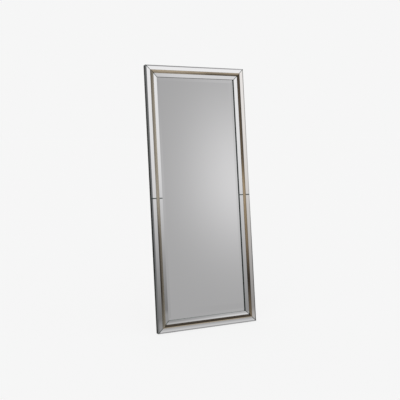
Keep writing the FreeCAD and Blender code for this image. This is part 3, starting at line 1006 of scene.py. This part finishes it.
@dataclass
class BeadRing:
    """Four champagne beads, each a rounded moulding swept along its side and mitred."""

    start: float = SIZES.outer_strip
    width: float = SIZES.bead
    rise: float = SIZES.bead_rise
    seat: float = SIZES.strip_thickness
    side_gap: float = 0.15 * MM
    mitre_gap: float = 0.2 * MM
    wear: float = 0.02 * MM
    wear_fineness: float = 35.0
    weld: float = 0.002 * MM
    steps_along: int = 121
    steps_across: int = 33
    # Painted light and shade of each bead along and across it; the bottom bead's inner half is painted
    # near-black as shade.
    painted_bead_shading: dict[Side, PaintedBeadShading] = field(default_factory=lambda: {
        Side.LEFT: PaintedBeadShading(
            (0.45, 0.0, 0.1, 0.75, 0.4, 0.28, 0.12), (0.85, 0.75, 0.66, 0.74, 0.92, 0.8, 0.5), 0.0),
        Side.RIGHT: PaintedBeadShading(
            (0.42, 0.0, 0.48, 0.5, 0.04, 0.0, 0.0), (0.5, 0.02, 0.6, 0.9, 0.15, 0.08, 0.02), 1.0),
        Side.TOP: PaintedBeadShading(
            (0.45, 0.57, 0.55, 0.52, 0.46, 0.55, 0.6), (0.95, 1.0, 1.0, 0.75, 0.33, 0.4, 0.36), 0.5),
        Side.BOTTOM: PaintedBeadShading((0.8, 1.0, 1.0, 1.0, 0.8), (0.04, 0.0, 0.0, 0.0, 0.04), 0.4, (0.18, 0.42)),
    })

    def crown(self, tree: ShapeTree) -> Socket:
        """The rounded front: a grid bent over the arc, mitred at its ends and a little worn.

        Args:
            tree: The bead's tree.

        Returns:
            The sheet.
        """
        wiring = tree.wiring
        arc = wiring.node("GeometryNodeCurveArc", {
            "Start": tree.given("Low Edge"), "Middle": tree.given("Crown"),
            "End": tree.given("High Edge"), "Resolution": self.steps_across,
        }, mode="POINTS")
        sheet = wiring.node("GeometryNodeMeshGrid", {
            "Size X": 2.0, "Size Y": 1.0, "Vertices X": self.steps_along, "Vertices Y": self.steps_across,
        })
        place = wiring.split(wiring.position())
        sample = wiring.node("GeometryNodeSampleCurve", {
            "Curves": arc.outputs["Curve"], "Factor": wiring.plus(place[1], 0.5, clamp=True),
        }, mode="FACTOR")
        _, depth, inward = wiring.split(sample.outputs["Position"])
        along = wiring.times(place[0], wiring.minus(tree.given("Half Length"), inward))
        swept = wiring.node("GeometryNodeSetPosition", {
            "Geometry": sheet.outputs["Mesh"], "Position": wiring.xyz(along, depth, inward),
        })
        uneven = wiring.noise(wiring.position(), self.wear_fineness, 2.0)
        rubbed = wiring.times(wiring.minus(uneven, 0.5), tree.given("Wear"))
        normal = wiring.node("GeometryNodeInputNormal").outputs[0]
        return wiring.node("GeometryNodeSetPosition", {
            "Geometry": swept.outputs[0], "Offset": wiring.scaled(normal, rubbed),
        }).outputs[0]

    def foot(self, tree: ShapeTree, crown: Socket) -> Socket:
        """The walls and the flat foot behind the rounded front.

        Args:
            tree: The bead's tree.
            crown: The rounded front.

        Returns:
            The walls and the foot.
        """
        wiring = tree.wiring
        under = wiring.node("GeometryNodeFlipFaces", {"Mesh": crown})
        walls = wiring.node("GeometryNodeExtrudeMesh", {
            "Mesh": under.outputs[0], "Offset": (0.0, 1.0, 0.0), "Offset Scale": tree.given("Seat"),
            "Individual": False,
        })
        x, _, z = wiring.split(wiring.position())
        seated = wiring.node("GeometryNodeSetPosition", {
            "Geometry": walls.outputs["Mesh"], "Selection": walls.outputs["Top"],
            "Position": wiring.xyz(x, tree.given("Seat"), z),
        })
        inputs = {"Geometry": seated.outputs[0], "Shade Smooth": False}
        return wiring.node("GeometryNodeSetShadeSmooth", inputs).outputs[0]

    def shape(self, length: float, material: bpy.types.Material) -> ShapeTree:
        """The tree that sweeps one bead along the bottom edge, centred on X = 0.

        Args:
            length: The side's full length at its outer edge.
            material: The bead's material.

        Returns:
            The tree.
        """
        low, high = self.start + self.side_gap, self.start + self.width - self.side_gap
        tree = ShapeTree("mitred_bead", {
            "Half Length": ("Float", length / 2 - self.mitre_gap / math.sqrt(2)),
            "Low Edge": ("Vector", Vector((0.0, 0.0, low))),
            "Crown": ("Vector", Vector((0.0, -self.rise, (low + high) / 2))),
            "High Edge": ("Vector", Vector((0.0, 0.0, high))),
            "Seat": ("Float", self.seat),
            "Wear": ("Float", self.wear),
            "Weld": ("Float", self.weld),
            "Material": ("Material", material),
        })
        wiring = tree.wiring
        crown = self.crown(tree)
        smooth = wiring.node("GeometryNodeSetShadeSmooth", {"Geometry": crown}).outputs[0]
        joined = wiring.node("GeometryNodeJoinGeometry")
        wiring.gather((self.foot(tree, crown), smooth), joined.inputs[0])
        inputs = {"Geometry": joined.outputs[0], "Distance": tree.given("Weld")}
        tree.close(wiring.node("GeometryNodeMergeByDistance", inputs).outputs[0])
        return tree

    def to_side(self, side: Side) -> Matrix:
        """The move from the bottom edge to a side, in the upright frame.

        Args:
            side: The side.

        Returns:
            The turn about Y and the move.
        """
        angle, x, z = {
            Side.BOTTOM: (0.0, 0.0, 0.0),
            Side.TOP: (180.0, 0.0, SIZES.height),
            Side.LEFT: (90.0, -SIZES.width / 2, SIZES.height / 2),
            Side.RIGHT: (-90.0, SIZES.width / 2, SIZES.height / 2),
        }[side]
        return Matrix.Translation((x, 0.0, z)) @ Matrix.Rotation(math.radians(angle), 4, "Y")

    def build(self) -> None:
        """Makes the four beads and dresses them."""
        for side in Side:
            material = ChampagneLeaf(side, self.painted_bead_shading[side]).make(f"champagne_leaf_{side.word}")
            name = f"leafed_bead_{side.word}"
            mesh = self.shape(SIZES.length(side), material).mesh(name)
            mesh.transform(self.to_side(side))
            stand(name, mesh, "champagne_bead", f"bead_{side.word}")


@dataclass
class FrameCore:
    """The lacquered core behind the strips, and the fillets and panel in its rebates."""

    rails: tuple[str, ...] = ("bottom_rail", "top_rail", "left_stile", "right_stile")
    flat_squeeze: Colour = (0.05, 1.0, 1.0)
    upright_squeeze: Colour = (1.0, 1.0, 0.05)

    def build(self) -> None:
        """Dresses the core, the fillets and the panel."""
        dress(CoreLacquer().make("black_brown_lacquer"), *self.rails)
        dress(Hardboard().make("brown_hardboard"), "back_panel")
        flat = Softwood(self.flat_squeeze).make("fillet_softwood_flat")
        upright = Softwood(self.upright_squeeze).make("fillet_softwood_upright")
        for side in Side:
            dress(upright if side.upright else flat, f"glass_fillet_{side.word}")


@dataclass
class Fasteners:
    """Round-headed cross-recessed screws at the back, each turned its own way."""

    nodes: tuple[str, ...] = ("back_panel_screws", "corner_plate_screws", "hanger_screws")
    shank_radius: float = 1.5 * MM
    length: float = 14.0 * MM
    tip_length: float = 3.0 * MM
    head_radius: float = 3.0 * MM
    head_height: float = 1.7 * MM
    head_fullness: float = 0.22
    head_widest: float = 1.6
    crown_band: float = 0.05 * MM
    recess_width: float = 0.7 * MM
    recess_length: float = 3.4 * MM
    recess_depth: float = 0.9 * MM
    shank_sides: int = 24
    head_sides: int = 32
    head_rings: int = 16
    seed: int = 7
    plate: PlatedSteel = PlatedSteel(
        bright=(0.66, 0.64, 0.58), clouded=(0.52, 0.49, 0.38), rough=(0.2, 0.34), squeeze=(1.0, 1.0, 1.0))

    def head(self, tree: ShapeTree) -> Socket:
        """A low full dome that stands on the seat, with a cross recess cut into it.

        Args:
            tree: The tree that gets the head.

        Returns:
            The head's geometry.
        """
        wiring = tree.wiring
        radius, height = tree.given("Head Radius"), tree.given("Head Height")
        ball = wiring.node("GeometryNodeMeshUVSphere", {
            "Segments": self.head_sides, "Rings": self.head_rings, "Radius": 1.0,
        })
        x, y, z = wiring.split(wiring.position())
        above = wiring.math("MAXIMUM", z, 0.0)
        fuller = wiring.math("POWER", wiring.minus(1.0, wiring.times(above, above)), -self.head_fullness)
        wide = wiring.math("MINIMUM", fuller, self.head_widest)
        across = [wiring.times(wiring.times(part, wide), radius) for part in (x, y)]
        dome = wiring.node("GeometryNodeSetPosition", {
            "Geometry": ball.outputs["Mesh"], "Position": wiring.xyz(*across, wiring.times(above, height)),
        })
        block = wiring.node("GeometryNodeMeshCube", {"Size": tree.given("Recess")})
        slot = wiring.node("GeometryNodeTransform", {
            "Geometry": block.outputs["Mesh"], "Translation": wiring.xyz(z=height),
        })
        crossing = wiring.node("GeometryNodeTransform", {
            "Geometry": slot.outputs[0], "Rotation": (0.0, 0.0, math.pi / 2),
        })
        inputs = {"Mesh 1": dome.outputs[0]}
        cut = wiring.node("GeometryNodeMeshBoolean", inputs, operation="DIFFERENCE", solver="EXACT")
        wiring.gather((slot.outputs[0], crossing.outputs[0]), cut.inputs["Mesh 2"])
        return cut.outputs[0]

    def turned(self, tree: ShapeTree, kind: str, inputs: dict, drop: Socket, flip: float = 0.0) -> Socket:
        """A round part of the screw, moved down its axis.

        Args:
            tree: The tree that gets the part.
            kind: The mesh primitive's node type.
            inputs: The primitive's inputs.
            drop: How far it goes along the axis.
            flip: How far it is turned over first, in radians.

        Returns:
            The part's geometry.
        """
        wiring = tree.wiring
        part = wiring.node(kind, {"Vertices": self.shank_sides, **inputs})
        return wiring.node("GeometryNodeTransform", {
            "Geometry": part.outputs["Mesh"], "Translation": wiring.xyz(z=drop), "Rotation": (flip, 0.0, 0.0),
        }).outputs[0]

    def attitude(self, tree: ShapeTree) -> Socket:
        """The turn that points a screw towards the front and spins it its own way.

        Args:
            tree: The screws' tree.

        Returns:
            The rotation.
        """
        wiring = tree.wiring
        # Input 3 is the upper end for plain numbers. Other kinds have ends of the same name.
        limits = {3: math.tau, "Seed": tree.given("Seed")}
        spin = wiring.node("FunctionNodeRandomValue", limits, data_type="FLOAT")
        angle = next(socket for socket in spin.outputs if socket.type == "VALUE" and socket.enabled)
        spun = wiring.node("FunctionNodeEulerToRotation", {"Euler": wiring.xyz(z=angle)})
        laid = wiring.node("FunctionNodeEulerToRotation", {"Euler": wiring.xyz(x=-math.pi / 2)})
        inputs = {"Rotation": laid.outputs[0], "Rotate By": spun.outputs[0]}
        return wiring.node("FunctionNodeRotateRotation", inputs, rotation_space="LOCAL").outputs[0]

    def shape(self, material: bpy.types.Material) -> ShapeTree:
        """The tree that stands a screw on every point, driven towards the front.

        Args:
            material: The screws' material.

        Returns:
            The tree.
        """
        recess = Vector((self.recess_length, self.recess_width, 2 * self.recess_depth))
        tree = ShapeTree("driven_screws", {
            "Shank Radius": ("Float", self.shank_radius),
            "Shank Length": ("Float", self.length - self.tip_length),
            "Tip Length": ("Float", self.tip_length),
            "Head Radius": ("Float", self.head_radius),
            "Head Height": ("Float", self.head_height),
            "Recess": ("Vector", recess),
            "Seed": ("Int", self.seed),
            "Material": ("Material", material),
        })
        wiring = tree.wiring
        radius, length = tree.given("Shank Radius"), tree.given("Shank Length")
        head = self.head(tree)
        shank = self.turned(tree, "GeometryNodeMeshCylinder", {
            "Radius": radius, "Depth": length,
        }, wiring.times(length, -0.5))
        tip = self.turned(tree, "GeometryNodeMeshCone", {
            "Radius Top": 0.0, "Radius Bottom": radius, "Depth": tree.given("Tip Length"),
        }, wiring.times(length, -1.0), math.pi)
        joined = wiring.node("GeometryNodeJoinGeometry")
        wiring.gather((head, shank, tip), joined.inputs[0])
        points = wiring.node("GeometryNodeMeshToPoints", {"Mesh": tree.given("Geometry")})
        placed = wiring.node("GeometryNodeInstanceOnPoints", {
            "Points": points.outputs[0], "Instance": joined.outputs[0], "Rotation": self.attitude(tree),
        })
        tree.close(placed.outputs[0])
        return tree

    def places(self, node: str) -> list[Vector]:
        """Finds a node's screws from the crowns of its separate heads.

        Args:
            node: The CAD node that holds the screws.

        Returns:
            The middle of each screw's seat in the upright frame.
        """
        upright = LEAN.matrix.inverted()
        corners = [upright @ vertex.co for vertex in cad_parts[node].data.vertices]
        deepest = max(corner.y for corner in corners)
        reach = 2 * self.head_radius
        crowns: list[list[Vector]] = []
        for corner in corners:
            if deepest - corner.y >= self.crown_band:
                continue
            near = next((crown for crown in crowns if (crown[0] - corner).length < reach), None)
            if near is None:
                crowns.append([corner])
            else:
                near.append(corner)
        seats = []
        for crown in crowns:
            xs, zs = [point.x for point in crown], [point.z for point in crown]
            middle = (min(xs) + max(xs)) / 2, deepest - self.head_height, (min(zs) + max(zs)) / 2
            seats.append(Vector(middle))
        return seats

    def build(self) -> None:
        """Makes the three sets of screws."""
        tree = self.shape(self.plate.make("screw_plating"))
        for node in self.nodes:
            places = self.places(node)
            stand(f"driven_{node}", tree.mesh(f"driven_{node}", places), "screws", node)
            LOG.info("%s: %d screws", node, len(places))


@dataclass
class Fittings:
    """Corner plates, wedges, hangers and rubber."""

    zinc: PlatedSteel = PlatedSteel()
    wire: PlatedSteel = PlatedSteel(
        bright=(0.72, 0.72, 0.70), clouded=(0.66, 0.65, 0.61), rough=(0.1, 0.2), squeeze=(0.2, 1.0, 0.2))
    strip: PlatedSteel = PlatedSteel(
        bright=(0.45, 0.45, 0.46), clouded=(0.30, 0.28, 0.26), rough=(0.35, 0.5))

    def build(self) -> None:
        """Dresses every fitting."""
        hands = ("left", "right")
        plates = [f"corner_plate_{end}_{hand}" for end in ("bottom", "top") for hand in hands]
        straps = [f"hanger_strap_{hand}" for hand in hands]
        rings = [f"hanger_ring_{hand}" for hand in hands]
        dress(self.zinc.make("zinc_plate"), *plates, *straps)
        dress(self.wire.make("nickel_wire"), *rings)
        dress(self.strip.make("strip_steel"), "mitre_wedges")
        dress(MouldedRubber().make("moulded_rubber"), "wall_bumpers", "floor_pads")


# --- Studio -------------------------------------------------------------------------------------
@dataclass
class Studio:
    """A pale floor, a soft lit wall round the mirror that only reflections show, lamp and camera.

    Bearings are in degrees, from straight ahead of the mirror to its right. The wall carries a
    grey card from one bearing of card to the other, with a soft glow on it.
    """

    backdrop: float = 0.922
    daylight: float = 0.86
    wall_radius: float = 3.0
    wall_height: float = 6.0
    wall_foot: float = -0.01
    wall_sides: int = 128
    wall_top_step: float = 3.0
    wall_steps: tuple[Pair, ...] = (
        (0.0, 0.30), (0.42, 0.41), (0.85, 0.575), (1.3, 0.755), (1.75, 0.85), (2.8, 0.95))
    card: Pair = (13.5, 36.0)
    card_soft: Pair = (1.5, 3.0)
    card_top: float = 2.62
    card_top_soft: float = 0.06
    card_level: float = 0.427
    glow_place: Pair = (34.5, 1.27)
    glow_width: float = 8.2
    glow_drop: float = 0.53
    glow_climb: float = 0.66
    glow_level: float = 0.325
    floor_paint: float = 0.905
    floor_reach: float = 150.0
    floor_level: float = 0.43
    floor_far: Pair = (0.7, 2.0)
    foot_level: float = 0.66
    foot_reach: Pair = (0.17, 0.27)
    shadow_share: float = 0.10
    lamp_strength: float = 0.62
    lamp_spread: float = 40.0
    lamp_aim: tuple[float, float, float] = (0.35, 0.5, -1.0)
    camera_lens: float = 59.9
    camera_sensor: float = 36.0
    camera_shift: float = -0.0312
    camera_place: tuple[float, float, float] = (-1.7225, -3.5964, 1.1572)
    camera_dip: float = 4.616
    camera_bearing: float = 25.466
    camera_sight: float = 400.0

    def bell(self, wiring: Wiring, away: Socket) -> Socket:
        """A bell curve of a value, 1 where the value is 0."""
        return wiring.math("EXPONENT", wiring.times(wiring.times(away, away), -0.5))

    def bearing(self, wiring: Wiring) -> tuple[Socket, Socket]:
        """The bearing and the height of what is lit.

        Args:
            wiring: The material's wiring.

        Returns:
            The bearing in degrees and the height in metres.
        """
        place = wiring.split(wiring.node("ShaderNodeTexCoord").outputs["Object"])
        ahead = wiring.times(place[1], -1.0)
        return wiring.math("DEGREES", wiring.math("ARCTAN2", place[0], ahead)), place[2]

    def on_card(self, wiring: Wiring, angle: Socket) -> Socket:
        """A mask that is 1 where the grey card stands.

        Args:
            wiring: The material's wiring.
            angle: The bearing.

        Returns:
            The mask.
        """
        (left, right), (left_soft, right_soft) = self.card, self.card_soft
        past_left = wiring.fade(angle, left - left_soft, left + left_soft)
        before_right = wiring.fade(angle, right + right_soft, right - right_soft)
        return wiring.times(past_left, before_right)

    def emitter(self, name: str) -> tuple[bpy.types.Material, Wiring, Socket]:
        """A material with nothing but its output.

        Args:
            name: The material's name.

        Returns:
            The material, its wiring and the surface input of its output.
        """
        material = bpy.data.materials.new(name)
        material.use_nodes = True
        nodes = material.node_tree.nodes
        nodes.clear()
        output = nodes.new("ShaderNodeOutputMaterial")
        return material, Wiring(material.node_tree), output.inputs["Surface"]

    def stage(self, name: str, corners: list, faces: list, material: bpy.types.Material) -> bpy.types.Object:
        """Stands a plain piece of the studio, which isn't part of the mirror.

        Args:
            name: The piece's name.
            corners: Its corners.
            faces: Its faces, as numbers of corners.
            material: Its material.

        Returns:
            The piece.
        """
        mesh = bpy.data.meshes.new(name)
        mesh.from_pydata(corners, [], faces)
        mesh.materials.append(material)
        piece = add_object(name, mesh)
        return piece

    def wall_material(self) -> bpy.types.Material:
        """Light that grows up the wall, with the grey card and the soft glow on it.

        Returns:
            The material.
        """
        material, wiring, surface = self.emitter("studio_wall_light")
        angle, height = self.bearing(wiring)
        top = self.wall_top_step
        stops = [(rise / top, level) for rise, level in self.wall_steps]
        plain = wiring.ramp(wiring.over(height, top), stops, "LINEAR")
        away = wiring.minus(height, self.glow_place[1])
        above = wiring.over(wiring.math("MAXIMUM", away, 0.0), self.glow_climb)
        below = wiring.over(wiring.math("MINIMUM", away, 0.0), self.glow_drop)
        aside = wiring.over(wiring.minus(angle, self.glow_place[0]), self.glow_width)
        glow = wiring.times(self.bell(wiring, wiring.plus(above, below)), self.bell(wiring, aside))
        lit = wiring.grey(wiring.plus(wiring.times(glow, self.glow_level), self.card_level))
        soft = self.card_top_soft
        under_top = wiring.fade(height, self.card_top + soft, self.card_top - soft)
        here = wiring.times(self.on_card(wiring, angle), under_top)
        light = wiring.node("ShaderNodeEmission", {"Color": wiring.blend(here, plain, lit)})
        wiring.feed(surface, light.outputs[0])
        return material

    def build_wall(self) -> None:
        """Stands the round wall about the mirror, out of sight of the camera."""
        corners, faces = [], []
        for step in range(self.wall_sides):
            turn = math.tau * step / self.wall_sides
            x, y = self.wall_radius * math.sin(turn), self.wall_radius * math.cos(turn)
            corners += [(x, y, self.wall_foot), (x, y, self.wall_height)]
            following = 2 * ((step + 1) % self.wall_sides)
            faces.append((2 * step, 2 * step + 1, following + 1, following))
        wall = self.stage("studio_wall", corners, faces, self.wall_material())
        wall.visible_camera = False
        wall.visible_diffuse = False
        wall.visible_shadow = False

    def floor_reflection(self, wiring: Wiring) -> Socket:
        """The floor as glass and leaf show it: pale at the foot, grey beyond, darker by the wall.

        Args:
            wiring: The floor's wiring.

        Returns:
            The grey.
        """
        place = wiring.node("ShaderNodeTexCoord").outputs["Object"]
        ahead = wiring.times(wiring.split(place)[1], -1.0)
        near = wiring.fade(ahead, *self.foot_reach, self.foot_level, self.floor_level)
        on_card = self.on_card(wiring, self.bearing(wiring)[0])
        wall_foot_level = self.wall_steps[0][1]
        far = wiring.fade(on_card, 0.0, 1.0, wall_foot_level, self.floor_level)
        share = wiring.fade(wiring.vector("LENGTH", place), *self.floor_far)
        return wiring.grey(wiring.plus(near, wiring.times(share, wiring.minus(far, near))))

    def build_floor(self) -> None:
        """Lays the pale floor, which is greyer in reflections."""
        material, wiring, surface = self.emitter("studio_floor_paint")
        paint = wiring.node("ShaderNodeBsdfDiffuse", {"Color": (self.floor_paint,) * 3}).outputs[0]
        even = wiring.node("ShaderNodeEmission", {"Color": (self.backdrop,) * 3}).outputs[0]
        mirrored = wiring.node("ShaderNodeEmission", {"Color": self.floor_reflection(wiring)}).outputs[0]
        seen = wiring.node("ShaderNodeLightPath").outputs
        shown = wiring.mix_shaders(self.shadow_share, even, paint)
        direct = wiring.mix_shaders(seen["Is Camera Ray"], paint, shown)
        wiring.feed(surface, wiring.mix_shaders(seen["Is Glossy Ray"], direct, mirrored))
        far = self.floor_reach
        corners = [(-far, -far, 0), (far, -far, 0), (far, far, 0), (-far, far, 0)]
        self.stage("studio_floor", corners, [(0, 1, 2, 3)], material)

    def build_world(self) -> None:
        """Sets even daylight, which the camera sees as the pale backdrop."""
        world = bpy.data.worlds.new("studio_air")
        bpy.context.scene.world = world
        world.use_nodes = True
        wiring = Wiring(world.node_tree)
        air = next(node for node in world.node_tree.nodes if node.type == "BACKGROUND")
        seen = wiring.node("ShaderNodeLightPath").outputs
        plain = wiring.math("MAXIMUM", seen["Is Camera Ray"], seen["Is Glossy Ray"])
        wiring.feed(air.inputs["Color"], wiring.blend(plain, (self.daylight,) * 3, (self.backdrop,) * 3))

    def build_lamp(self) -> None:
        """Hangs one broad soft lamp high on the left, in front of the mirror."""
        data = bpy.data.lights.new("soft_lamp", "SUN")
        data.energy = self.lamp_strength
        data.angle = math.radians(self.lamp_spread)
        lamp = add_object("soft_lamp", data)
        lamp.rotation_euler = Vector(self.lamp_aim).to_track_quat("-Z", "Y").to_euler()
        lamp.visible_glossy = False

    def build_camera(self) -> None:
        """Stands the camera where the photograph was taken from."""
        data = bpy.data.cameras.new("camera")
        data.sensor_width = self.camera_sensor
        data.lens = self.camera_lens
        data.shift_y = self.camera_shift
        data.clip_end = self.camera_sight
        camera = add_object("camera", data)
        camera.location = self.camera_place
        pitch = math.radians(90.0 - self.camera_dip)
        camera.rotation_euler = (pitch, 0.0, -math.radians(self.camera_bearing))
        bpy.context.scene.camera = camera

    def build(self) -> None:
        """Builds the whole studio."""
        self.build_floor()
        self.build_wall()
        self.build_world()
        self.build_lamp()
        self.build_camera()
        bpy.context.scene.view_settings.view_transform = "Standard"
        LOG.info("studio: floor, wall, air, lamp and camera")


def main() -> None:
    """Builds the studio and every sub-assembly in order."""
    logging.basicConfig(level=logging.INFO, format="%(name)s %(message)s")
    assemblies = (
        Studio(), MirrorSheet(), OUTER_RING, INNER_RING, BeadRing(), FrameCore(), Fasteners(), Fittings())
    for assembly in assemblies:
        assembly.build()


if __name__ == "__main__":
    main()
